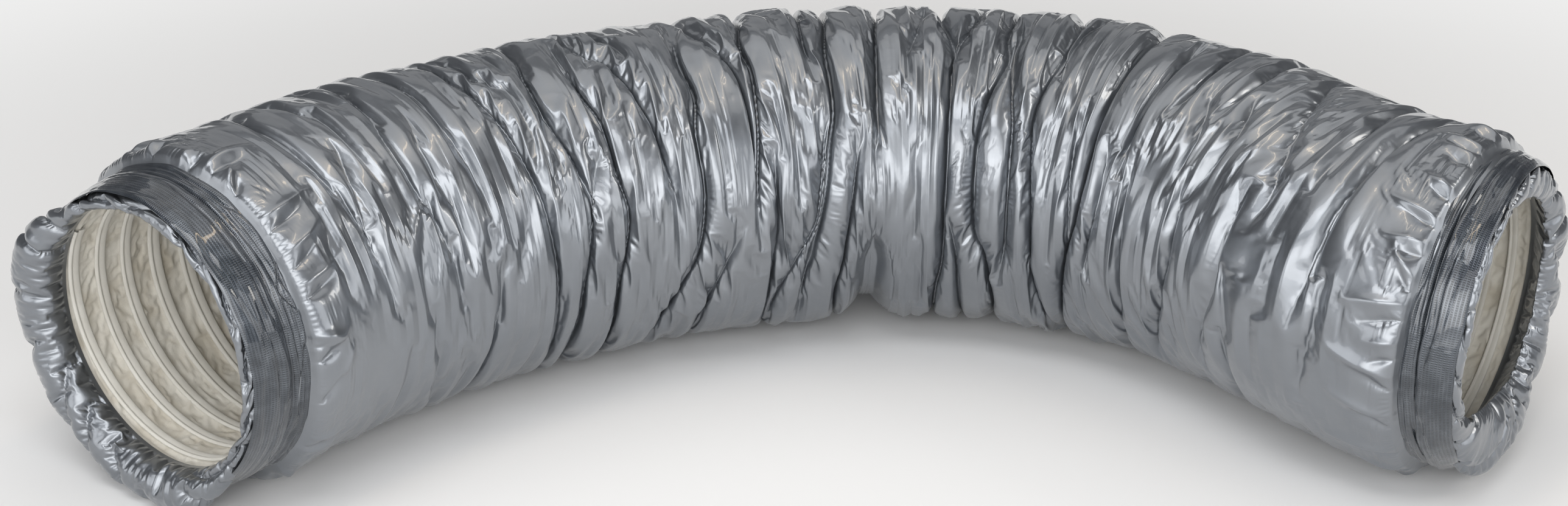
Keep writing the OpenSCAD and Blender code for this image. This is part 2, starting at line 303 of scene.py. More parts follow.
class Chart:
    """Height and sideways shift, in mm, over distance along the duct and angle round it."""

    def __init__(self, s_mm, count, mid_r):
        self.s = s_mm
        self.m = count
        self.mid_r = mid_r
        self.da = 360.0 / count
        # heights of folds, of deep folds, of mid and of small folds, and the shift along the duct
        self.h, self.cut, self.mid, self.small, self.ds = np.zeros((5, len(s_mm), count))

    def near(self, path, reach):
        """Row and column numbers about a path of [mm, degrees], signed distance to it and share along it."""
        k = math.pi / 180 * self.mid_r
        lo, hi = path.min(0), path.max(0)
        rows = np.nonzero((self.s > lo[0] - reach) & (self.s < hi[0] + reach))[0]
        if not len(rows):
            return None
        c0 = int(math.floor((lo[1] - reach / k) / self.da))
        c1 = int(math.ceil((hi[1] + reach / k) / self.da))
        cols = np.arange(c0, min(c1, c0 + self.m - 1) + 1)
        x = self.s[rows][:, None]
        y = cols[None, :] * self.da * k
        q = path * [1, k]
        seg = q[1:] - q[:-1]
        size = np.maximum(np.hypot(seg[:, 0], seg[:, 1]), 1e-9)
        gone = np.concatenate([[0], np.cumsum(size)])
        best = np.full((len(rows), len(cols)), 1e9)
        side, share = np.zeros_like(best), np.zeros_like(best)
        for i in range(len(seg)):
            dx, dy = x - q[i, 0], y - q[i, 1]
            t = np.clip((dx * seg[i, 0] + dy * seg[i, 1]) / size[i] ** 2, 0, 1)
            ex, ey = dx - t * seg[i, 0], dy - t * seg[i, 1]
            d2 = ex * ex + ey * ey
            closer = d2 < best
            best = np.where(closer, d2, best)
            cross = (seg[i, 1] * dx - seg[i, 0] * dy) / size[i]
            side = np.where(closer, cross, side)
            share = np.where(closer, (gone[i] + t * size[i]) / gone[-1], share)
        return np.ix_(rows, cols % self.m), np.sqrt(best), np.sign(side), share

    def crease(self, path, depth, width, lap=0.0, taper=0.18, sharp=0.5):
        """A deep fold: steep where the two sides meet, rounded at its shoulders; lap leans one side over it."""
        got = self.near(path, width * 1.3)
        if got is None:
            return
        at_, u, side, t = got
        end = eased(np.clip(np.minimum(t, 1 - t) / taper, 0, 1))
        q = np.clip(u / width, 0, 1)
        shape = 1 - (1 - (1 - q) ** 2) ** sharp
        self.cut[at_] = np.minimum(self.cut[at_], -depth * end * shape)
        if lap:
            lean = (q * 2.4) * np.exp(-(q * 2.4) ** 2 / 2 + 0.5)
            self.ds[at_] -= abs(lap) * end * lean * side * (side == np.sign(lap))

    def wrinkle(self, path, height, width, taper=0.35, layer=None):
        """A small ridge (height above 0) or groove, sharp along its line."""
        got = self.near(path, width * 4)
        if got is None:
            return
        at_, u, _, t = got
        end = eased(np.clip(np.minimum(t, 1 - t) / taper, 0, 1))
        layer = self.h if layer is None else layer
        layer[at_] += height * end * np.exp(-np.hypot(u, 0.25 * width) / width * 1.1)

    def dent(self, path, height, width, taper=0.5):
        """A soft hollow or swelling."""
        got = self.near(path, width * 2.5)
        if got is None:
            return
        at_, u, _, t = got
        end = np.clip(np.minimum(t, 1 - t) / taper, 0, 1)
        self.h[at_] += height * end * np.exp(-(u / width) ** 2)


def short_path(rng, s, a, length, lean, mid_r):
    """A slightly bent stroke about a place, lean degrees off the way round the duct."""
    k = math.pi / 180 * mid_r
    w = math.radians(lean)
    d = np.array([math.sin(w), math.cos(w)])
    n = np.array([d[1], -d[0]])
    t = np.linspace(-0.5, 0.5, 6)[:, None]
    bow = rng.normal(0, 0.12) * length
    wave = rng.normal(0, 0.03, (6, 1)) * length
    p = t * length * d + (bow * (0.25 - t * t) * 4 + wave) * n
    return p / [1, k] + [s, a]


def scatter(chart, stroke, rng, count, place, long, lean, tall, wide):
    """Strokes at random: ranges of place, length and width, mean and spread of lean, and the draw of height."""
    draw, *limits = tall
    for _ in range(count):
        s, a = rng.uniform(*place), rng.uniform(0, 360)
        path = short_path(rng, s, a, rng.uniform(*long), lean[0] + rng.normal(0, lean[1]), chart.mid_r)
        stroke(path, draw(*limits), rng.uniform(*wide))


# ---------------------------------------------------------------- film that settles
def pull(a, b, rest, firm):
    """Moves two sets of points to their rest distance, half each; firm is the share taken up."""
    d = b - a
    size = np.sqrt((d * d).sum(-1)) + 1e-9
    d *= (firm * 0.5 * (size - rest) / size)[..., None]
    a += d
    b -= d


def finer(d):
    """A grid of values with a row and column added between each two, smoothly; columns close up."""
    n, m = d.shape[:2]
    wide = np.empty((n, 2 * m) + d.shape[2:], d.dtype)
    wide[:, 0::2] = d
    wide[:, 1::2] = (9 * (d + np.roll(d, -1, 1)) - np.roll(d, 1, 1) - np.roll(d, -2, 1)) / 16
    out = np.empty((2 * n - 1, 2 * m) + d.shape[2:], d.dtype)
    out[0::2] = wide
    far = np.concatenate([2 * wide[:1] - wide[1:2], wide, 2 * wide[-1:] - wide[-2:-1]])
    out[1::2] = (9 * (far[1:-2] + far[2:-1]) - far[:-3] - far[3:]) / 16
    return out


def blurred(v, rows, columns):
    """v averaged over boxes, twice; columns close up."""
    for _ in range(2):
        pad = np.pad(v, ((rows + 1, rows), (0, 0)), mode="edge").cumsum(0)
        v = (pad[2 * rows + 1:] - pad[:-2 * rows - 1]) / (2 * rows + 1)
        pad = np.pad(v, ((0, 0), (columns + 1, columns)), mode="wrap").cumsum(1)
        v = (pad[:, 2 * columns + 1:] - pad[:, :-2 * columns - 1]) / (2 * columns + 1)
    return v


def settle_film(points, core, out, hold, low, high, gain_s, gain_a, twist, seeds, levels, around_start=0.0):
    """Film longer and wider than the body it wraps buckles into folds.

    points is the start and core the body's surface, as closed grids, and out the way out of the body.
    hold ties the film to its start, low and high bound its height over the core, gain_s and gain_a say
    how much longer it is than the core each way, and twist how far it is skewed. Each pass, coarse to
    fine, adds one of the seeds, heights that start its folds. levels gives the step between the points
    used, rounds, push outwards, softness and how much of gain_s and gain_a each pass has.
    around_start is the share of the start's own length in the length round the body.
    """
    move = None
    for seed, (step, rounds, push, soft, extra) in zip(seeds, levels):
        pick = np.s_[::step, ::step]
        t, o, h = core[pick].astype(np.float32), out[pick].astype(np.float32), hold[pick].astype(np.float32)
        lo, hi = low[pick].astype(np.float32), high[pick].astype(np.float32)
        first = points[pick].astype(np.float32)
        x = first.copy() if move is None else t + move
        if seed is not None:
            x += o * seed[pick][..., None].astype(np.float32)
        gs, ga, tw = gain_s[pick] * extra[0], gain_a[pick] * extra[1], twist[pick]
        rest_s = np.sqrt(((t[1:] - t[:-1]) ** 2).sum(-1)) * (1 + gs[1:])
        nxt = np.roll(t, -1, 1)
        rest_a = np.sqrt(((nxt - t) ** 2).sum(-1))
        if around_start:
            low_r = around_start * blurred(((first - t) * o).sum(-1), 1, 2)
            turn = ((np.roll(o, -1, 1) - o) * (nxt - t)).sum(-1) / (rest_a + 1e-9)
            rest_a = rest_a + np.minimum(low_r, 0) * turn
        rest_a = rest_a * (1 + ga)
        cross = np.sqrt(rest_s ** 2 + rest_a[1:] ** 2)
        rest_d, rest_e = cross * (1 + tw[1:]), cross * (1 - tw[1:])
        n = len(x)
        for turn in range(rounds):
            x += o * push
            for p in (0, 1):
                e = n - 1 - (n - 1 - p) % 2
                pull(x[p:e:2], x[p + 1:e + 1:2], rest_s[p:e:2], 1.0)
                y = np.roll(x[p + 1:e + 1:2], -1, 1)
                pull(x[p:e:2], y, rest_d[p:e:2], 0.7)
                y = np.roll(y, 2, 1)
                pull(x[p:e:2], y, rest_e[p:e:2], 0.7)
                x[p + 1:e + 1:2] = np.roll(y, -1, 1)
            pull(x[:, 0::2], x[:, 1::2], rest_a[:, 0::2], 1.0)
            y = np.roll(x, -1, 1)
            pull(y[:, 0::2], y[:, 1::2], rest_a[:, 1::2], 1.0)
            x = np.roll(y, 1, 1)
            mean = (np.roll(x, 1, 1) + np.roll(x, -1, 1)) * 0.25
            mean[1:-1] += (x[:-2] + x[2:]) * 0.25
            mean[0] += x[0] * 0.5
            mean[-1] += x[-1] * 0.5
            x += soft * (mean - x)
            x += h[..., None] * (first - x)
            tall = ((x - t) * o).sum(-1)
            over = 0.35 * np.maximum(tall - hi, 0) - np.maximum(lo - tall, 0)
            x -= o * over[..., None]
        move = x - t
        if step > 1:
            move = finer(move)
    return x.astype(float)


def kept_between(points, core, out, low, high):
    """The points moved along out until their height over the core is between low and high."""
    tall = ((points - core) * out).sum(-1)
    return points + out * (np.clip(tall, low, high) - tall)[..., None]


# ---------------------------------------------------------------- the jacket's folds
# Deep folds of the side that shows: depth, half width, lap and [distance along the duct in mm, degrees] points
DEEP = [
    (10, 16, 3, [(198, 60), (175, 94), (180, 120), (193, 148), (205, 170), (212, 186)]),
    (9, 14, -3, [(229, 112), (214, 128), (200, 146), (196, 160)]),
    (8, 14, 3, [(228, 60), (232, 80), (246, 99), (247, 115), (246, 138)]),
    (7, 12, 0, [(268, 150), (262, 176), (280, 200), (300, 226), (330, 262)]),
    (9, 15, 4, [(318, 60), (313, 85), (302, 108), (293, 124), (297, 140), (308, 152), (321, 176), (337, 193)]),
    (7, 12, -3, [(343, 108), (332, 129), (341, 156), (354, 166)]),
    (9, 14, 3, [(372, 60), (372, 84), (380, 100), (379, 117), (384, 138), (386, 160)]),
    (10, 15, 4, [(400, 165), (386, 185), (378, 205), (372, 232), (390, 262)]),
    (11, 18, 4, [(430, 60), (434, 84), (446, 106), (462, 127), (468, 140), (476, 156), (484, 183), (494, 220),
                 (500, 256)]),
    (8, 14, 3, [(461, 64), (466, 94), (492, 111), (500, 124)]),
    (12, 18, 4, [(543, 64), (543, 88), (532, 104), (528, 122), (540, 145), (546, 165), (530, 195), (530, 222),
                 (545, 260)]),
    (9, 14, -3, [(574, 142), (560, 154), (546, 170)]),
    (13, 18, 5, [(582, 78), (580, 95), (586, 117), (596, 130), (597, 150), (607, 168), (588, 197), (595, 232),
                 (605, 262)]),
    (13, 18, -5, [(600, 60), (614, 90), (639, 104), (657, 124), (668, 145), (677, 160), (688, 178)]),
    (8, 14, 3, [(655, 62), (660, 88), (668, 106)]),
    (14, 20, 5, [(748, 72), (744, 92), (737, 111), (740, 127), (729, 142), (730, 165), (716, 185), (686, 204),
                 (664, 228), (650, 262)]),
    (14, 20, -5, [(764, 60), (770, 80), (782, 97), (803, 115), (808, 135), (807, 152), (802, 174)]),
    (11, 17, 4, [(790, 172), (757, 195), (735, 214), (734, 240), (745, 270)]),
    (14, 19, 5, [(852, 60), (846, 82), (830, 104), (832, 118), (824, 140), (810, 163), (803, 184)]),
    (11, 16, -4, [(855, 138), (843, 152), (836, 183), (830, 202), (834, 228), (850, 262)]),
    (12, 17, 4, [(928, 60), (922, 84), (914, 106), (917, 124)]),
    (12, 17, 4, [(926, 134), (908, 164), (896, 182), (866, 198), (847, 213), (838, 240)]),
    (16, 21, 5, [(962, 62), (957, 86), (943, 111), (939, 135), (931, 151), (914, 177), (900, 192), (888, 208),
                 (880, 240)]),
    (14, 20, -5, [(998, 140), (972, 155), (954, 181), (946, 196), (938, 214), (943, 234), (950, 266)]),
    (15, 20, 5, [(1028, 60), (1022, 84), (1016, 108), (1011, 133), (1008, 150), (996, 164)]),
    (34, 46, 0, [(1006, 178), (1001, 198), (1000, 214), (1000, 240), (1004, 280)]),
    (9, 16, 3, [(1084, 76), (1077, 94), (1062, 118)]),
    (14, 18, 4, [(1104, 60), (1106, 84), (1122, 108), (1129, 135), (1130, 165), (1127, 197), (1115, 216),
                 (1108, 246), (1104, 276)]),
    (10, 15, -4, [(1158, 70), (1150, 90), (1138, 108), (1136, 124)]),
    (15, 19, 5, [(1206, 60), (1196, 96), (1203, 115), (1187, 136), (1180, 158), (1186, 183), (1206, 194),
                 (1217, 215), (1206, 238), (1200, 268)]),
    (13, 16, 4, [(1135, 168), (1150, 188), (1157, 205), (1157, 246), (1154, 276)]),
    (13, 17, -4, [(1214, 78), (1218, 96), (1224, 127), (1238, 147), (1243, 186), (1226, 208)]),
    (12, 17, 4, [(1270, 60), (1282, 86), (1283, 108), (1270, 135), (1278, 152), (1291, 172), (1298, 201),
                 (1312, 231), (1318, 262)]),
    (9, 14, -3, [(1304, 70), (1298, 96), (1296, 128)]),
    (16, 20, 5, [(1370, 60), (1386, 84), (1389, 104), (1387, 125), (1385, 148), (1380, 170), (1362, 188),
                 (1346, 212), (1330, 240), (1324, 266)]),
    (10, 15, -4, [(1347, 138), (1354, 156), (1364, 176), (1354, 198)]),
    (10, 15, 3, [(1440, 84), (1446, 112), (1444, 140), (1436, 152)]),
    (9, 14, 3, [(1412, 138), (1418, 155), (1416, 172), (1400, 196)]),
    (10, 16, 4, [(1456, 146), (1470, 160), (1476, 178), (1476, 200), (1450, 232), (1440, 262)]),
    (9, 15, -4, [(1480, 72), (1488, 92), (1494, 108), (1486, 128)]),
    (10, 15, 4, [(1545, 62), (1552, 80), (1560, 103), (1554, 128)]),
    (8, 13, -3, [(1522, 114), (1546, 129), (1550, 148)]),
    (11, 15, 4, [(1568, 146), (1584, 166), (1570, 192), (1548, 206), (1520, 228)]),
    (9, 14, 4, [(1580, 106), (1604, 124), (1606, 136), (1596, 150)]),
    (8, 14, -3, [(1610, 72), (1628, 86), (1664, 106), (1690, 127), (1713, 153)]),
    (10, 15, 4, [(1664, 136), (1678, 150), (1682, 170), (1668, 192), (1640, 214)]),
    (8, 13, -3, [(1686, 156), (1696, 182), (1688, 216), (1666, 240)]),
    (9, 14, 4, [(1722, 66), (1730, 88), (1741, 108), (1742, 133)]),
    (10, 14, 4, [(1792, 70), (1780, 92), (1776, 112), (1768, 136), (1768, 152), (1760, 180)]),
    (8, 13, -3, [(1785, 154), (1780, 176), (1771, 200)]),
]
# Where the film is crumpled: centre in mm and degrees, reach in mm and degrees, strength
CRUMPLED = [
    (545, 145, 110, 50, 1.0), (1205, 145, 95, 60, 1.0), (400, 165, 40, 26, 0.8), (305, 165, 60, 40, 0.7),
    (1440, 165, 60, 40, 0.7), (1560, 175, 45, 34, 0.8), (885, 165, 60, 40, 0.7), (700, 150, 70, 60, 0.5),
    (1770, 130, 30, 50, 0.5), (250, 110, 40, 30, 0.6), (480, 110, 60, 30, 0.7), (1100, 130, 50, 50, 0.5),
]
# count, length, height, width, spread of lean, and how much they crowd into the crumpled places
FOLD_SIZES = (
    (200, (70, 200), (4.0, 8.5), (5.0, 9.0), 9, 1.1),
    (420, (30, 110), (1.5, 4.2), (3.0, 6.0), 14, 1.2),
    (900, (10, 46), (0.4, 1.2), (1.5, 3.0), 24, 1.8),
)
# step between points, rounds, push outwards in metres, softness and more length for each pass
FILM_PASSES = ((8, 60, 0.0, 0.02, (1.0, 1.0)), (4, 60, 0.0, 0.02, (1.0, 1.0)), (2, 50, 0.0, 0.015, (1.0, 1.0)),
               (1, 36, 0.0, 0.02, (1.04, 1.1)))
COLUMNS = 800
ROW_MM = 1.45
SEAM_MM = 807.0              # where the long pieces are parted into a left and a right half
TAPE_BACK = (0.066, 0.050)   # depth behind each mouth where the tape ends and the jacket shows
JACKET_MID_R = 205.0         # mm, the radius at which strokes are measured
STUFFED_R = 0.2055           # the jacket over the wool
GATHERED_R = 0.1865          # the jacket where the tape gathers it
TALLEST_R = 0.2135           # its folds are rounded off above this


def gathered(s):
    """How tightly the film is gathered at a distance in mm: 1 in the bends, less on the calm ends."""
    return float(np.interp(s, (0, 330, 520, 1420, 1560, 2000), (0.72, 0.74, 1.0, 1.0, 0.88, 0.82)))


def build_jacket_chart():
    start, stop = TAPE_BACK[0] * 1000 - 16, (RUN_LEN - TAPE_BACK[1]) * 1000 + 14
    s_mm = np.linspace(start, stop, 8 * int((stop - start) / ROW_MM / 8) + 1)
    chart = Chart(s_mm, COLUMNS, JACKET_MID_R)
    rng = np.random.default_rng(11)
    for depth, width, lap, points in DEEP:
        points = list(points)
        if points[0][1] <= 66:
            s0 = points[0][0]
            over = rng.uniform(-20, 45)
            points[:0] = [(s0 + rng.normal(0, 12), over), (s0 + rng.normal(0, 4), (over + 64) / 2 + 8)]
        if points[-1][1] >= 255:
            points.append((points[-1][0] + rng.normal(0, 12), rng.uniform(290, 330)))
        tight = gathered(np.mean([p[0] for p in points]))
        chart.crease(smooth_path(points), depth * 1.8 * tight, width * 1.5, lap * 1.8 * tight)
    # Folds of the far side and underneath carry on from those that show
    for s0 in np.arange(190, 1840, 66.0):
        drift = rng.normal(0, 9, 7).cumsum()
        angles = np.linspace(52, -112, 7) + rng.normal(0, 5, 7)
        cuts = rng.uniform(0, 1)
        path = np.stack([s0 + drift, angles], -1)
        if cuts < 0.5:
            path = path[:5] if cuts < 0.25 else path[2:]
        chart.crease(smooth_path(path), rng.uniform(11, 20) * gathered(s0) ** 1.5, rng.uniform(20, 30),
                     rng.choice([-7, 7]))
    grid_s, grid_a = s_mm[:, None], (np.arange(COLUMNS) * 360.0 / COLUMNS)[None, :]
    share = grid_a / 360.0
    slow = Noise(3, 7)(grid_s / 120.0, share) * 3.0 + Noise(4, 16)(grid_s / 52.0, share) * 1.6
    chart.h += slow

    def crumple(s, a):
        v = 0.28
        for s0, a0, ds, da, k in CRUMPLED:
            off = (a - a0 + 180) % 360 - 180
            v = max(v, k * math.exp(-((s - s0) / ds) ** 2 - (off / da) ** 2))
        if 70 < (a % 360) < 290:
            return v
        return max(v, 0.5)

    # Long folds, short folds and small crumples
    layers = (chart.h, chart.mid, chart.small)
    for layer, (count, long, tall, wide, lean, crowd) in zip(layers, FOLD_SIZES):
        made = 0
        while made < count:
            s, a = rng.uniform(start, stop), rng.uniform(0, 360)
            v = crumple(s, a)
            if rng.uniform() > v ** crowd:
                continue
            made += 1
            size = rng.uniform(*long) * (0.6 + 0.4 * v)
            path = short_path(rng, s, a, size, rng.normal(0, lean) + rng.choice([-0.6, 0.5]) * lean, JACKET_MID_R)
            high = rng.uniform(*tall) * (0.4 + 0.6 * v)
            way = 1 if rng.uniform() < 0.5 else -1.15
            chart.wrinkle(path, way * high, rng.uniform(*wide), layer=layer)
    # Larger dimples that break the highlights
    scatter(chart, chart.dent, rng, 240, (start, stop), (30, 90), (0, 16), (rng.normal, 0, 1.9), (7, 15))
    # Pleats where the tape gathers the film, at both ends: a ridge and a groove in turn
    for edge, way in ((TAPE_BACK[0] * 1000, 1), ((RUN_LEN - TAPE_BACK[1]) * 1000, -1)):
        a = 0.0
        while a < 360:
            long, lean, b = rng.uniform(24, 90), rng.normal(0, 7), a
            for sign, back, middle, front, wides in ((1, 6, 0.5, 1, (3.4, 6.6)), (-1, 4, 0.35, 0.75, (2.8, 5.4))):
                if sign < 0:
                    b = a + rng.uniform(3, 6)
                path = smooth_path([(edge - back * way, b), (edge + middle * long * way, b + 0.4 * lean),
                                    (edge + front * long * way, b + lean)])
                tall, wide = rng.uniform(8, 19), rng.uniform(*wides)
                chart.wrinkle(path, sign * tall, wide, taper=0.6)
                chart.wrinkle(path, sign * 0.6 * tall, 0.7 * wide, taper=0.6, layer=chart.mid)
            a += rng.uniform(6, 19)
    return chart


def jacket_radius(s, a):
    """Radius of the stuffed jacket before its folds, in metres."""
    near = s / 1000
    left = np.clip((near - TAPE_BACK[0] + 0.004) / 0.030, 0, 1)
    right = np.clip((RUN_LEN - TAPE_BACK[1] + 0.004 - near) / 0.030, 0, 1)
    rise = np.sqrt(np.clip(1 - (1 - left) ** 2.4, 0, 1)) * np.sqrt(np.clip(1 - (1 - right) ** 2.4, 0, 1))
    # the top sinks a little towards the right end
    top = np.clip((near - 1.48) / 0.2, 0, 1)
    full = STUFFED_R - 0.007 * top * np.clip(np.sin(a), 0, 1) ** 2
    return GATHERED_R + (full - GATHERED_R) * rise


def make_jacket(film):
    chart = build_jacket_chart()
    s_grid, a_grid, share = grid_of(chart.s, COLUMNS)
    body = jacket_radius(s_grid, a_grid)
    # The folds die out under the tape
    left, right = chart.s / 1000, RUN_LEN - chart.s / 1000
    inner = np.where(left < 0.3, collar_r(0, left), np.where(right < 0.3, collar_r(1, right), 0.19)) - 0.0012
    under = np.clip(np.minimum(left - TAPE_BACK[0] + 0.003, right - TAPE_BACK[1] + 0.003) / 0.007, 0, 1)
    r = body + (chart.h + chart.cut) / 1000
    r = inner[:, None] + (r - inner[:, None]) * under[:, None]
    start = around((s_grid + chart.ds) / 1000, np.maximum(r, 0.1765), a_grid)
    core = around(s_grid / 1000, body, a_grid)
    out = around(s_grid / 1000, body + 1, a_grid) - core
    # How much longer the film is than the body: what its deep folds take up, spread out
    tall = start[1:] - start[:-1]
    flat = core[1:] - core[:-1]
    more = np.sqrt((tall ** 2).sum(-1)) / np.sqrt((flat ** 2).sum(-1)) - 1
    more = np.clip(blurred(np.vstack([more, more[-1:]]), 22, 12), 0.0, 0.5)
    patch = Noise(71, 9)(s_grid / 90.0, share)
    crush = np.zeros_like(patch) + 0.12
    for s0, a0, ds, da, k in CRUMPLED:
        off = (np.degrees(a_grid) - a0 + 180) % 360 - 180
        crush = np.maximum(crush, k * np.exp(-((s_grid - s0) / ds) ** 2 - (off / da) ** 2))
    calm = under[:, None]
    near_tape = np.exp(-np.maximum(np.minimum(left - TAPE_BACK[0], right - TAPE_BACK[1]), 0) / 0.030)[:, None]
    gain_s = more * 0.9 + 0.006 + 0.055 * crush + 0.02 * np.clip(patch, 0, 1)
    gain_a = (0.003 + 0.012 * crush + 0.07 * near_tape) * calm
    twist = (0.030 * Noise(73, 8)(s_grid / 110.0, share) + 0.012 * Noise(74, 20)(s_grid / 45.0, share)) * calm
    hold = 0.004 + 0.10 * np.clip(-chart.cut / 10.0 - 0.7, 0, 1) + 0.05 * near_tape
    hold = np.where(under[:, None] < 1, 1.0, hold)
    begin = ((start - core) * out).sum(-1)
    low = np.maximum(begin - 0.0100 * calm - 0.0003, 0.1740 - body)
    low = np.minimum(low, begin - 0.0003)
    high = begin + (0.0045 + 0.006 * near_tape) * calm + 0.0001
    seeds = (None, None, chart.mid / 1000 * calm, chart.small / 1000 * calm)
    points = settle_film(start, core, out, hold, low, high, gain_s, gain_a, twist, seeds, FILM_PASSES, 1.0)
    tall = ((points - core) * out).sum(-1)
    limit = TALLEST_R - body
    points += out * (np.where(tall > limit, limit + 0.003 * np.tanh((tall - limit) / 0.003), tall) - tall)[..., None]
    # The film rests on the floor in soft flats
    z = points[..., 2]
    points[..., 2] = np.where(z < 0.004, 0.0008 + 0.004 * np.exp((z - 0.004) / 0.006) * 0.8, z)
    return two_halves("jacket", points, chart.s, film, flip=True)


# ---------------------------------------------------------------- the mouths
RING = 640


def around_mouth(end, depth, r, a):
    """Points at a depth behind a mouth's plane (metres, below 0 in front of it)."""
    depth = np.asarray(depth, float)
    s = depth if end == 0 else RUN_LEN - depth
    return around(s, r, a)


def hump(a_deg, centre, reach):
    off = (np.asarray(a_deg) - centre + 180) % 360 - 180
    return np.exp(-(off / reach) ** 2)


def thick_side(a_deg):
    """1 where the cuff is puffed out, 0 where the tape is pulled up to its lip."""
    off = np.abs((a_deg - (-42) + 180) % 360 - 180)
    t = np.clip((off - 54) / 44, 0, 1)
    return 1 - eased(t)


def pulled_back(end, a_deg, depth):
    """Depth of a point near a mouth whose rim isn't square to the duct."""
    if end == 0:
        return depth
    lean = 0.009 + 0.012 * np.cos(np.radians(a_deg))
    return depth + lean * np.clip(1 - depth / 0.075, 0, 1.1)


CUFF_OUT = ((0.0285, 0.0105), (0.0220, 0.0100))   # how far the crest stands in front, thick side and thin side
CUFF_R = ((0.2120, 0.1725), (0.1930, 0.1735))     # outer radius, thick side and thin side
TUCK = (0.013, 0.028)   # how deep the film is tucked into each mouth
CUFF_PASSES = ((8, 40, 0.0001, 0.02, (1.0, 1.0)), (4, 40, 0.00004, 0.02, (1.0, 1.0)),
               (2, 40, 0.0, 0.015, (1.0, 1.15)), (1, 36, 0.0, 0.018, (1.1, 1.35)))
MOUTH_R = 0.159
COLLAR = (0.176, 0.188)   # radius under the tape, at its front and its back edge
COLLAR_END = (0.068, 0.052)
FILM_SEAT_R = 0.1745      # the cuff's film under the tape
# shares of a cuff's section: where the roll starts and ends, its length and the tuck's
ROLL_START, ROLL_END, ROLL, TUCKED = 0.16, 0.86, 0.70, 0.14


def collar_r(end, depth):
    """Radius of the gathered film under the tape."""
    return COLLAR[0] + (COLLAR[1] - COLLAR[0]) * (depth - 0.007) / (COLLAR_END[end] - 0.007)


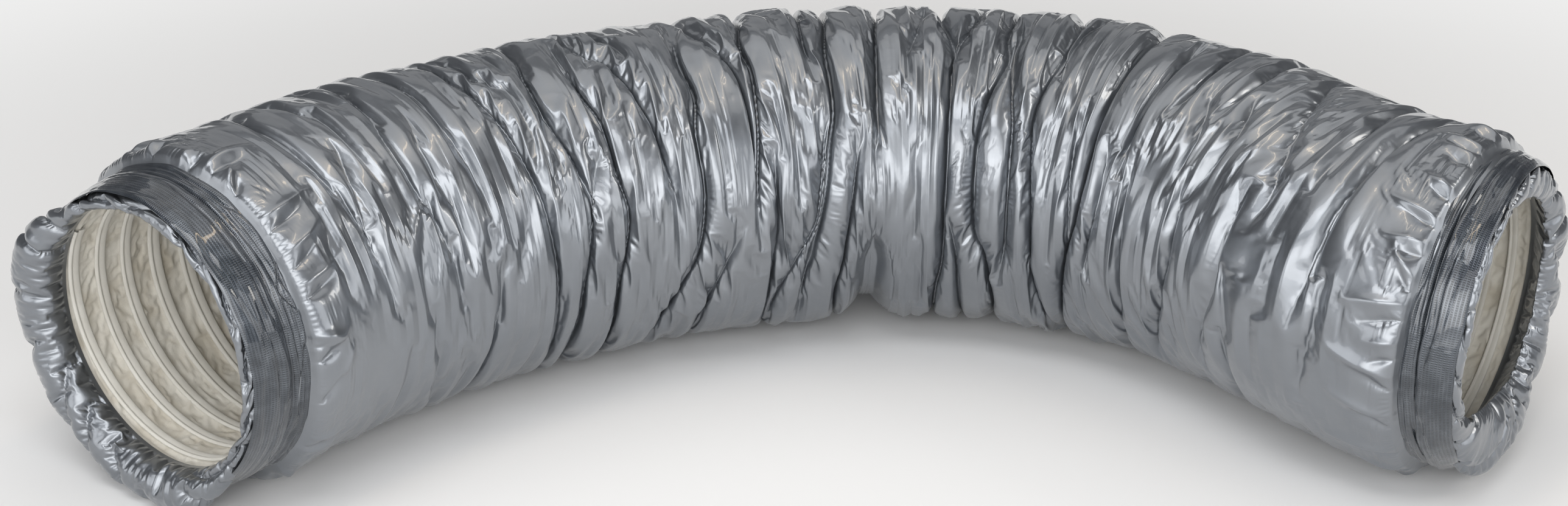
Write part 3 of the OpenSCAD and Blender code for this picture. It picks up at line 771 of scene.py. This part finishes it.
def make_cuff(end, name, film):
    """The film rolled over the wool: from under the tape, over the crest and into the mouth."""
    n = 113
    a = np.arange(RING) * 2 * math.pi / RING
    deg = np.degrees(a)
    fat = thick_side(deg)
    out = CUFF_OUT[end][1] + (CUFF_OUT[end][0] - CUFF_OUT[end][1]) * fat
    big = CUFF_R[end][1] + (CUFF_R[end][0] - CUFF_R[end][1]) * fat
    lip = np.full(RING, MOUTH_R)
    if end == 0:
        big = big + 0.008 * hump(deg, 8, 40)
    else:
        # the right mouth's roll is pushed up and inward underneath
        lip = lip - 0.060 * hump(deg, -100, 42) - 0.030 * hump(deg, -6, 50) - 0.017 * hump(deg, 72, 36)
        out = out + 0.010 * hump(deg, -95, 38)
    t = np.linspace(0, 1, n)[:, None]
    # the section's angle round the roll, from behind it over the outside to the bore
    angle = np.radians(np.clip((t - ROLL_START) / ROLL, 0, 1) * 270 - 90)
    mid_z = 0.003 + 0.002 * fat
    mid_r = (big + lip) / 2
    r_low = FILM_SEAT_R + (big - FILM_SEAT_R) * np.cos(angle)
    z_low = mid_z + (mid_z + 0.009) * np.sin(angle)
    r_top = mid_r + (big - mid_r) * np.cos(angle)
    z_top = mid_z + (out - mid_z) * np.sin(angle)
    low = angle < 0
    r = np.where(low, r_low, r_top)
    z = np.where(low, z_low, z_top)
    before = np.clip(1 - t / ROLL_START, 0, 1)
    z = np.where(t < ROLL_START, -0.009 - before * 0.020, z)
    r = np.where(t < ROLL_START, FILM_SEAT_R + before * 0.003, r)
    after = np.clip((t - ROLL_END) / TUCKED, 0, 1)
    z = np.where(t > ROLL_END, mid_z - after * (TUCK[end] + mid_z), z)
    r = np.where(t > ROLL_END, lip + (1 - (1 - after) ** 2) * (MOUTH_R + (0.0012, -0.0004)[end] - lip), r)
    # swelling between pleats, and the pleats
    chart = Chart(np.linspace(0, 86, n), RING, 180.0)
    rng = np.random.default_rng(31 + end)
    share = (deg / 360)[None, :] + 0 * t
    chart.h += Noise(8 + end, 17)(t * 3.0, share) * 2.4 + Noise(18 + end, 38)(t * 5.0, share) * 1.2
    b = 0.0
    while b < 360:
        lean = rng.normal(12, 9)
        lo, hi = rng.uniform(2, 22), rng.uniform(58, 84)
        mid = (lo + hi) / 2 + rng.normal(0, 5)
        path = np.array([(lo, b - lean), (mid, b + rng.normal(0, 2.0)), (hi, b + lean)])
        chart.crease(smooth_path(path), rng.uniform(7, 14), rng.uniform(9, 15), rng.choice([-6, 6]), taper=0.3)
        b += rng.uniform(9, 24)
    scatter(chart, chart.wrinkle, rng, 110, (4, 84), (10, 34), (90, 34), (rng.normal, 0, 2.6), (2.4, 5.0))
    scatter(chart, chart.wrinkle, rng, 34, (4, 84), (14, 40), (0, 30), (rng.normal, 0, 2.2), (2.0, 4.0))
    h = (chart.h + chart.cut) / 1000
    # outward normal of the section in (r, z)
    dr, dz = np.gradient(r, axis=0), np.gradient(z, axis=0)
    size = np.maximum(np.hypot(dr, dz), 1e-9)
    nr, nz = dz / size, -dr / size
    keep = np.clip(t / 0.12, 0, 1) * np.clip((1 - t) / 0.16, 0, 1) * (0.8 + 0.2 * fat[None, :])
    h = np.clip(h, -0.022, 0.006) * keep

    def placed(rise):
        return around_mouth(end, pulled_back(end, deg[None, :], -(z + nz * rise)), r + nr * rise, a[None, :])

    core = placed(0)
    start = placed(h)
    out = placed(0.001) - core
    out /= np.linalg.norm(out, axis=-1)[..., None]
    fixed = np.clip(np.maximum(1 - t / 0.13, 1 - (1 - t) / 0.05), 0, 1) + 0 * deg[None, :]
    hold = 0.006 + fixed + 0.10 * np.clip(-chart.cut / 8.0 - 0.5, 0, 1)
    loose = np.clip((1 - fixed) * 1.5, 0, 1) * (0.6 + 0.4 * fat[None, :])
    gain_a = (0.015 + 0.05 * loose) + 0 * r
    gain_s = 0.01 + 0.02 * loose + 0 * r
    twist = 0.04 * Noise(48 + end, 19)(t * 2.5, share) * loose
    small = np.zeros_like(h)
    small += Noise(58 + end, 90)(t * 9.0, share) * 0.0007 * loose
    points = settle_film(start, core, out, np.minimum(hold, 1), -0.024 * keep - 0.0008,
                         np.maximum(h, 0) + 0.004 * keep + 0.0004, gain_s, gain_a, twist,
                         (None, None, None, small), CUFF_PASSES, 0.6)
    points = kept_between(points, core, out, -0.024, 0.0075 * keep + 0.0006)
    points[..., 2] = np.maximum(points[..., 2], 0.001)
    return grid_object(name, points, materials=[film], flip=end == 0)


def tape_height(end, depth, a_deg, seed=100):
    """Height of the tape over the bare collar: what both wraps of one end share."""
    share = a_deg / 360
    h = Noise(seed + end, 9)(depth / 0.034, share) * 0.0016 + Noise(seed + 5 + end, 27)(depth / 0.022, share) * 0.0009
    bulge = 0.006 * thick_side(a_deg) * np.sin(np.pi * np.clip(depth / 0.06, 0, 1))
    return h + bulge


WRAP_PASSES = ((4, 40, 0.0, 0.02, (1.0, 1.0)), (2, 40, 0.0, 0.02, (1.0, 1.0)), (1, 30, 0.0, 0.02, (1.1, 1.1)))


def make_wrap(end, name, tape, front, back, lift, seed, lip=None, grooves=()):
    """A pulled band of tape between two depths, its edges turned down and its face puckered."""
    n = 4 * max(int((back - front) / 0.0040), 6) + 1
    a = np.arange(RING) * 2 * math.pi / RING
    deg = np.degrees(a)
    rng = np.random.default_rng(seed)
    share = (deg / 360)[None, :]
    wave = Noise(seed, 9)(np.zeros((1, RING)) + 3.3, share)[0]
    wave2 = Noise(seed + 1, 23)(np.zeros((1, RING)) + 5.1, share)[0]
    f = front + 0.0012 * wave + 0.0008 * wave2
    if lip is not None:
        f = f + (lip - front) * (1 - thick_side(deg))
    b = back + 0.0020 * wave2 + 0.0012 * wave
    t = np.linspace(0, 1, n)[:, None]
    depth = f + (b - f) * t
    width = (back - front) * 1000
    chart = Chart(np.linspace(0, width, n), RING, 184.0)
    scatter(chart, chart.wrinkle, rng, 26, (0, width), (30, 130), (0, 6), (rng.uniform, 0.3, 1.2), (1.8, 4.0))
    scatter(chart, chart.wrinkle, rng, 26, (0, width), (8, 22), (90, 25), (rng.uniform, 0.2, 1.1), (1.4, 2.6))
    for _ in range(6):
        s0, a0, turn = rng.uniform(0.15, 0.85) * width, rng.uniform(0, 360), rng.uniform(70, 200)
        steps = np.linspace(-0.5, 0.5, 9)
        path = np.stack([s0 + rng.normal(0, 0.10, 9) * width + steps * rng.normal(0, 0.25) * width,
                         a0 + steps * turn], -1)
        chart.wrinkle(smooth_path(path), rng.uniform(2.0, 4.0), rng.uniform(1.6, 3.0), taper=0.2)
        chart.wrinkle(smooth_path(path + [3.4, 0]), -rng.uniform(2.0, 4.0), rng.uniform(1.2, 2.2), taper=0.2)
    h = 3.6 * np.tanh(chart.h / 3.6) / 1000
    tied = np.zeros_like(h)
    for k, (place, deep, wide) in enumerate(grooves):
        line = place + 0.0030 * Noise(seed + 40 + k, 5)(np.zeros((1, RING)) + 2.2, share)[0]
        h = h - deep * np.exp(-np.abs(depth - line) / wide * 1.1)
        tied = np.maximum(tied, np.exp(-((depth - line) / (2 * wide)) ** 2))
    edge = np.minimum(t, 1 - t) * (back - front)
    down = -0.0030 * np.exp(-edge / 0.0011)
    r = collar_r(end, depth) + lift + tape_height(end, depth, deg[None, :] + 0 * depth)
    back_at = pulled_back(end, deg[None, :], depth)
    core = around_mouth(end, back_at, r, a[None, :])
    out = around_mouth(end, back_at, r + 1, a[None, :]) - core
    start = core + out * (h + down)[..., None]
    hold = np.maximum(0.01 + np.clip(1 - edge / 0.0015, 0, 1) * 0.5, 0.5 * tied)
    twist = 0.012 * Noise(seed + 3, 21)(depth / 0.03, share)
    zero = np.zeros_like(h)
    points = settle_film(start, core, out, hold, np.minimum(h, 0) + down - 0.0008, zero + 0.0044, zero + 0.006,
                         zero + 0.005, twist, (None, None, None), WRAP_PASSES)
    u = np.arange(n) * (back - front) / (n - 1)
    v = np.arange(RING + 1) * 2 * math.pi / RING * 0.186
    return grid_object(name, points, materials=[tape], uv=(u, v), flip=end == 0)


# ---------------------------------------------------------------- the bore
HELIX_TURNS = 50
HELIX_IN = 0.022
HELIX_START = math.radians(36)
LINER_R = 0.1612
LINER_PASSES = ((2, 50, 0.00004, 0.01, (1.0, 1.0)), (1, 30, 0.00002, 0.02, (1.15, 1.15)))


def helix_share(s):
    """Turns of the helix gone at a distance along the duct."""
    return (s - HELIX_IN) / (RUN_LEN - 2 * HELIX_IN) * HELIX_TURNS


def in_mouth(s, a):
    """Distance along the duct of an inner piece, drawn back where the right mouth leans."""
    depth = RUN_LEN - s
    return np.where(depth < 0.075, RUN_LEN - pulled_back(1, np.degrees(a), depth), s)


def make_liner(cloth):
    """The quilted liner: it bellies out between the turns of the tape and puckers in slanted tucks."""
    start, stop = 9.0, RUN_LEN * 1000 - 18.0
    s_mm = np.linspace(start, stop, 961)
    count = 400
    chart = Chart(s_mm, count, 160.0)
    rng = np.random.default_rng(77)
    s_grid, a_grid, share = grid_of(s_mm, count)
    pitch = (RUN_LEN - 2 * HELIX_IN) / HELIX_TURNS * 1000
    # phase between turns, 0 on the tape
    phase = (helix_share(s_grid / 1000) + (a_grid - HELIX_START) / (2 * math.pi)) % 1.0
    belly = np.sin(np.pi * phase)
    h = 2.4 * belly ** 1.3 + Noise(51, 30)(s_grid / 30.0, share) * 1.2 * belly
    for s0 in np.arange(start, stop, pitch):
        # fewer tucks where no one can look in
        step = 5.2 if s0 < 330 or s0 > stop - 330 else 12.0
        b = rng.uniform(0, 6)
        while b < 360:
            lean = rng.choice([-1, 1]) * rng.uniform(25, 62)
            centre = s0 + pitch * (0.5 - (b - 36) / 360.0) + rng.normal(0, 3)
            path = short_path(rng, centre, b, rng.uniform(22, 42), 90 - lean, 160.0)
            chart.wrinkle(path, rng.uniform(2.6, 5.6), rng.uniform(2.8, 5.2))
            if rng.uniform() < 0.6:
                path = short_path(rng, centre + rng.normal(0, 6), b + 2.5, rng.uniform(14, 30), 90 + lean, 160.0)
                chart.wrinkle(path, -rng.uniform(1.0, 3.0), rng.uniform(2.8, 5.2))
            b += step * rng.uniform(0.7, 1.5)
    h = h + np.clip(chart.h, -5.0, 6.0) * np.clip(belly * 2.2, 0.12, 1)
    # height above 0 lies outwards, away from the axis
    end = np.clip(np.minimum((s_mm - start) / 10.0, (stop - s_mm) / 22.0), 0, 1)[:, None]
    r = LINER_R + np.clip(h - 1.6, -4.2, 4.8) / 1000 * end + 0.0006
    begin = around(in_mouth(s_grid / 1000, a_grid), r, a_grid)
    core = around(in_mouth(s_grid / 1000, a_grid), LINER_R + 0 * r, a_grid)
    out = around(in_mouth(s_grid / 1000, a_grid), LINER_R + 1 + 0 * r, a_grid) - core
    sewn = np.clip(1.4 - np.minimum(phase, 1 - phase) * pitch / 5.0, 0, 1)
    hold = np.maximum(np.maximum(sewn, 1 - end), 0.012)
    loose = 1 - sewn
    twist = 0.10 * Noise(52, 34)(s_grid / 24.0, share) * loose
    points = settle_film(begin, core, out, hold, -0.0050 + 0 * r, 0.0050 + 0 * r, 0.09 * loose, 0.065 * loose,
                         twist, (None, None), LINER_PASSES)
    points = kept_between(points, core, out, -0.0048, 0.0052)
    return two_halves("liner", points, s_mm, cloth)


def helix_piece(name, section, mats, turns, steps):
    """A section of (mm along the duct, mm in from the liner) points carried round the helix."""
    first, last = turns
    rows = int((last - first) * steps)
    k = np.linspace(first, last, rows + 1)
    s = HELIX_IN + (RUN_LEN - 2 * HELIX_IN) * k / HELIX_TURNS
    a = HELIX_START - 2 * math.pi * k
    sec = np.array(section)
    wobble = Noise(91, 7)(k * 2.3, k * 0 + 0.3) * 0.7
    points = around(in_mouth(s[:, None] + (sec[None, :, 0] + wobble[:, None]) / 1000, a[:, None]),
                    LINER_R - 0.0008 - sec[None, :, 1] / 1000, a[:, None])
    u = np.arange(rows + 1) * 2 * math.pi * 0.158 / steps
    v = np.concatenate([[0], np.cumsum(np.hypot(*np.diff(np.vstack([sec, sec[:1]]), axis=0).T))]) / 1000
    return grid_object(name, points, materials=mats, uv=(u, v))


STRIP = [(-8.6, 0.0), (-7.6, 0.9), (-6.4, 2.1), (-5.2, 2.5), (-4.0, 2.0), (-3.2, 0.9), (-2.5, 0.4), (-1.5, 1.0),
         (0.6, 1.4), (3.0, 1.5), (5.2, 1.3), (6.4, 0.8), (7.2, 0.1), (6.4, -0.3), (0.0, -0.4), (-6.0, -0.5)]
WIRE = [(-5.2 + 1.15 * math.cos(t), 0.9 + 1.15 * math.sin(t)) for t in np.arange(8) * math.pi / 4]


WOOL_R = 0.1684   # clear of the liner's tucks at the mouths


def make_wool(wool):
    s_mm = np.linspace(14, RUN_LEN * 1000 - 24, 420)
    s_grid, a_grid, share = grid_of(s_mm, 160)
    near = np.minimum(s_mm, RUN_LEN * 1000 - s_mm)[:, None]
    r = WOOL_R + 0.004 * np.clip((near - 60) / 50, 0, 1)
    r = r + 0.0008 * Noise(61, 40)(s_grid / 26.0, share) * np.clip(near / 40, 0, 1)
    points = around(in_mouth(s_grid / 1000, a_grid), r, a_grid)
    return two_halves("wool", points, s_mm, wool, flip=True)


# ---------------------------------------------------------------- materials
class Paint:
    """A short way to write a procedural material."""

    def __init__(self, name):
        self.mat = bpy.data.materials.new(name)
        self.mat.use_nodes = True
        self.nt = self.mat.node_tree
        self.bsdf = self.nt.nodes["Principled BSDF"]
        self.coord = self.nt.nodes.new("ShaderNodeTexCoord")

    def set(self, **values):
        for key, value in values.items():
            self.bsdf.inputs[key.replace("_", " ")].default_value = value

    def link(self, a, b):
        self.nt.links.new(a, b)

    def noise(self, scale, detail=3.0, distortion=0.0, space="Object", stretch=None):
        return add_node(self.nt, "TexNoise", {"Scale": scale, "Detail": detail, "Distortion": distortion,
                                              "Roughness": 0.55, "Vector": self.space(space, stretch)}).outputs["Fac"]

    def space(self, space, stretch):
        if stretch is None:
            return self.coord.outputs[space]
        return add_node(self.nt, "Mapping", {"Scale": stretch, "Vector": self.coord.outputs[space]}).outputs["Vector"]

    def bands(self, scale, direction, distortion=0.0):
        inputs = {"Scale": scale, "Distortion": distortion, "Detail": 1.0, "Vector": self.coord.outputs["UV"]}
        return add_node(self.nt, "TexWave", inputs, bands_direction=direction).outputs["Fac"]

    def ramp(self, fac, *stops):
        node = add_node(self.nt, "ValToRGB", {"Fac": fac})
        ramp = node.color_ramp
        while len(ramp.elements) < len(stops):
            ramp.elements.new(0.5)
        for element, (place, colour) in zip(ramp.elements, stops):
            element.position = place
            element.color = (*colour, 1)
        return node.outputs["Color"]

    def math(self, kind, a, b):
        return add_node(self.nt, "Math", {0: a, 1: b}, operation=kind).outputs["Value"]

    def bump(self, height, strength, distance, below=None):
        inputs = {"Strength": strength, "Distance": distance, "Height": height}
        if below is not None:
            inputs["Normal"] = below
        normal = add_node(self.nt, "Bump", inputs).outputs["Normal"]
        self.link(normal, self.bsdf.inputs["Normal"])
        return normal


def grey(v, warm=0.0):
    return (v * (1 + warm), v, v * (1 - 1.4 * warm))


def film_material(name, level=0.25):
    p = Paint(name)
    p.set(Metallic=0.88, Coat_Weight=0.8, Coat_Roughness=0.035)
    cloud = p.noise(9.0, 4.0, 0.4)
    p.link(p.ramp(cloud, (0.30, grey(level * 0.92, -0.072)), (0.70, grey(level * 1.07, -0.060))),
           p.bsdf.inputs["Base Color"])
    rough = p.noise(42.0, 4.0, 0.6)
    p.link(p.ramp(rough, (0.30, grey(0.29)), (0.72, grey(0.39))), p.bsdf.inputs["Roughness"])
    n = p.bump(p.noise(30.0, 2.0, 1.1), 0.14, 0.0020)
    p.bump(p.noise(160.0, 2.0, 0.6), 0.05, 0.0004, n)
    return p.mat


def tape_material(name):
    p = Paint(name)
    p.set(Metallic=0.60, Coat_Weight=1.0, Coat_Roughness=0.05, Specular_IOR_Level=0.6)
    scrim = p.math("MAXIMUM", p.bands(118.0, "X", distortion=0.6), p.bands(118.0, "Y", distortion=0.6))
    worn = p.noise(36.0, 5.0, 0.8)
    streak = p.noise(9.0, 4.0, 0.4, space="UV", stretch=(26.0, 1.0, 1.0))
    shade = p.math("ADD", p.math("MULTIPLY", scrim, 0.30),
                   p.math("ADD", p.math("MULTIPLY", worn, 0.56), p.math("MULTIPLY", streak, 0.14)))
    p.link(p.ramp(shade, (0.30, grey(0.024, -0.20)), (0.55, grey(0.050, -0.17)), (0.80, grey(0.14, -0.10))),
           p.bsdf.inputs["Base Color"])
    p.link(p.ramp(worn, (0.3, grey(0.16)), (0.75, grey(0.30))), p.bsdf.inputs["Roughness"])
    n = p.bump(scrim, 0.55, 0.0006)
    p.bump(streak, 0.12, 0.0015, n)
    return p.mat


def liner_material(name):
    p = Paint(name)
    p.set(Metallic=0.0, Specular_IOR_Level=0.15, Roughness=0.88, Sheen_Weight=0.15)
    stain = p.noise(17.0, 4.0, 0.8)
    p.link(p.ramp(stain, (0.25, (0.47, 0.43, 0.355)), (0.5, (0.585, 0.56, 0.50)), (0.78, (0.66, 0.645, 0.595))),
           p.bsdf.inputs["Base Color"])
    n = p.bump(p.noise(75.0, 3.0, 1.2), 0.35, 0.0016)
    p.bump(p.noise(900.0, 1.0), 0.22, 0.0003, n)
    return p.mat


def strip_material(name):
    p = Paint(name)
    p.set(Metallic=0.0, Specular_IOR_Level=0.12, Roughness=0.85, Sheen_Weight=0.15)
    weave = p.math("MULTIPLY", p.bands(420.0, "X"), p.bands(420.0, "Y"))
    worn = p.noise(30.0, 3.0)
    p.link(p.ramp(p.math("ADD", p.math("MULTIPLY", weave, 0.25), p.math("MULTIPLY", worn, 0.75)),
                  (0.25, (0.60, 0.58, 0.525)), (0.75, (0.72, 0.705, 0.66))), p.bsdf.inputs["Base Color"])
    p.bump(weave, 0.45, 0.0004)
    return p.mat


def wool_material(name):
    p = Paint(name)
    p.set(Metallic=0.0, Specular_IOR_Level=0.05, Roughness=1.0)
    fibre = p.noise(240.0, 5.0, 2.0)
    p.link(p.ramp(fibre, (0.3, (0.62, 0.55, 0.33)), (0.7, (0.84, 0.78, 0.56))), p.bsdf.inputs["Base Color"])
    p.bump(fibre, 0.8, 0.002)
    return p.mat


def wire_material(name):
    p = Paint(name)
    p.set(Metallic=1.0)
    drawn = p.noise(500.0, 2.0, 0.0)
    p.link(p.ramp(drawn, (0.3, grey(0.42)), (0.7, grey(0.60))), p.bsdf.inputs["Base Color"])
    p.link(p.ramp(drawn, (0.3, grey(0.25)), (0.7, grey(0.42))), p.bsdf.inputs["Roughness"])
    p.bump(drawn, 0.15, 0.0002)
    return p.mat


# ---------------------------------------------------------------- the build
# the turn where the helix is parted, the wire's turns short of each end, and rows in a turn
HALF_TURN = 21.0
WIRE_START = 0.35
STRIP_STEPS, WIRE_STEPS = 72, 60
# distances along the duct bounding each end's zone; settle finds the axis there but uses nothing of it
LEFT_ZONE = (0.080, 0.650)
RIGHT_ZONE = (0.942, 1.664)


def on_axis(s):
    x, y, _ = at(np.array([s]))
    return (float(x[0]), float(y[0]), AXIS_H)


def settle(halves, node):
    """Hides the CAD piece that a long soft piece's left and right half replace, and bakes each half's transform; the
    axis is found at each end's zone but not used.
    """
    left, right = halves
    for half in halves:
        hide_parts(node)
    on_axis(LEFT_ZONE[0])
    on_axis(LEFT_ZONE[1])
    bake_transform(left)
    on_axis(RIGHT_ZONE[0])
    on_axis(RIGHT_ZONE[1])
    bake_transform(right)


make_camera()
make_light()
make_floor()

film = film_material("jacket_film")
# the cuffs' film: the jacket's film painted darker, as painted shade on the rolls that face down and away from the
# lamps
cuff_film = film_material("cuff_film", 0.235)
tape = tape_material("scrim_tape")
cloth = liner_material("liner_textile")
strip_cloth = strip_material("sewn_tape")
wool_mat = wool_material("wool")
steel = wire_material("spring_wire")

settle(make_jacket(film), "outer_jacket")
settle(make_wool(wool_mat), "insulation_blanket")
settle(make_liner(cloth), "inner_liner")
settle([helix_piece("helix_tape_left", STRIP, [strip_cloth], (0, HALF_TURN), STRIP_STEPS),
        helix_piece("helix_tape_right", STRIP, [strip_cloth], (HALF_TURN, HELIX_TURNS), STRIP_STEPS)],
       "helix_strip")
settle([helix_piece("helix_wire_left", WIRE, [steel], (WIRE_START, HALF_TURN), WIRE_STEPS),
        helix_piece("helix_wire_right", WIRE, [steel], (HALF_TURN, HELIX_TURNS - WIRE_START), WIRE_STEPS)],
       "helix_wire")

# front and back edge of the front and the rear wrap, and the depth of the front edge on the thin side
WRAPS = (((0.005, 0.040), (0.026, 0.068), -0.0065), ((0.005, 0.032), (0.020, 0.0525), -0.0060))
for end, body in ((0, "left_end"), (1, "right_end")):
    side = ("left", "right")[end]
    cuff = make_cuff(end, f"{side}_rolled_cuff", cuff_film)
    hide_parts(f"{side}_cuff")
    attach(cuff, body)
    front, rear, lip = WRAPS[end]
    step = front[1]
    behind = ((step + 0.0030, 0.0050, 0.0022), (step + 0.0120, 0.0030, 0.0018), (step + 0.0180, 0.0020, 0.0016))
    for which, (lo, hi), lift, edge, grooves in (("front", front, 0.0056, lip, ((step - 0.010, 0.0016, 0.0016),)),
                                                 ("rear", rear, 0.0020, None, behind)):
        seed = 100 + 10 * end + (which == "rear")
        wrap = make_wrap(end, f"{side}_{which}_tape", tape, lo, hi, lift, seed, edge, grooves)
        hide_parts(f"{side}_{which}_wrap")
        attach(wrap, body)
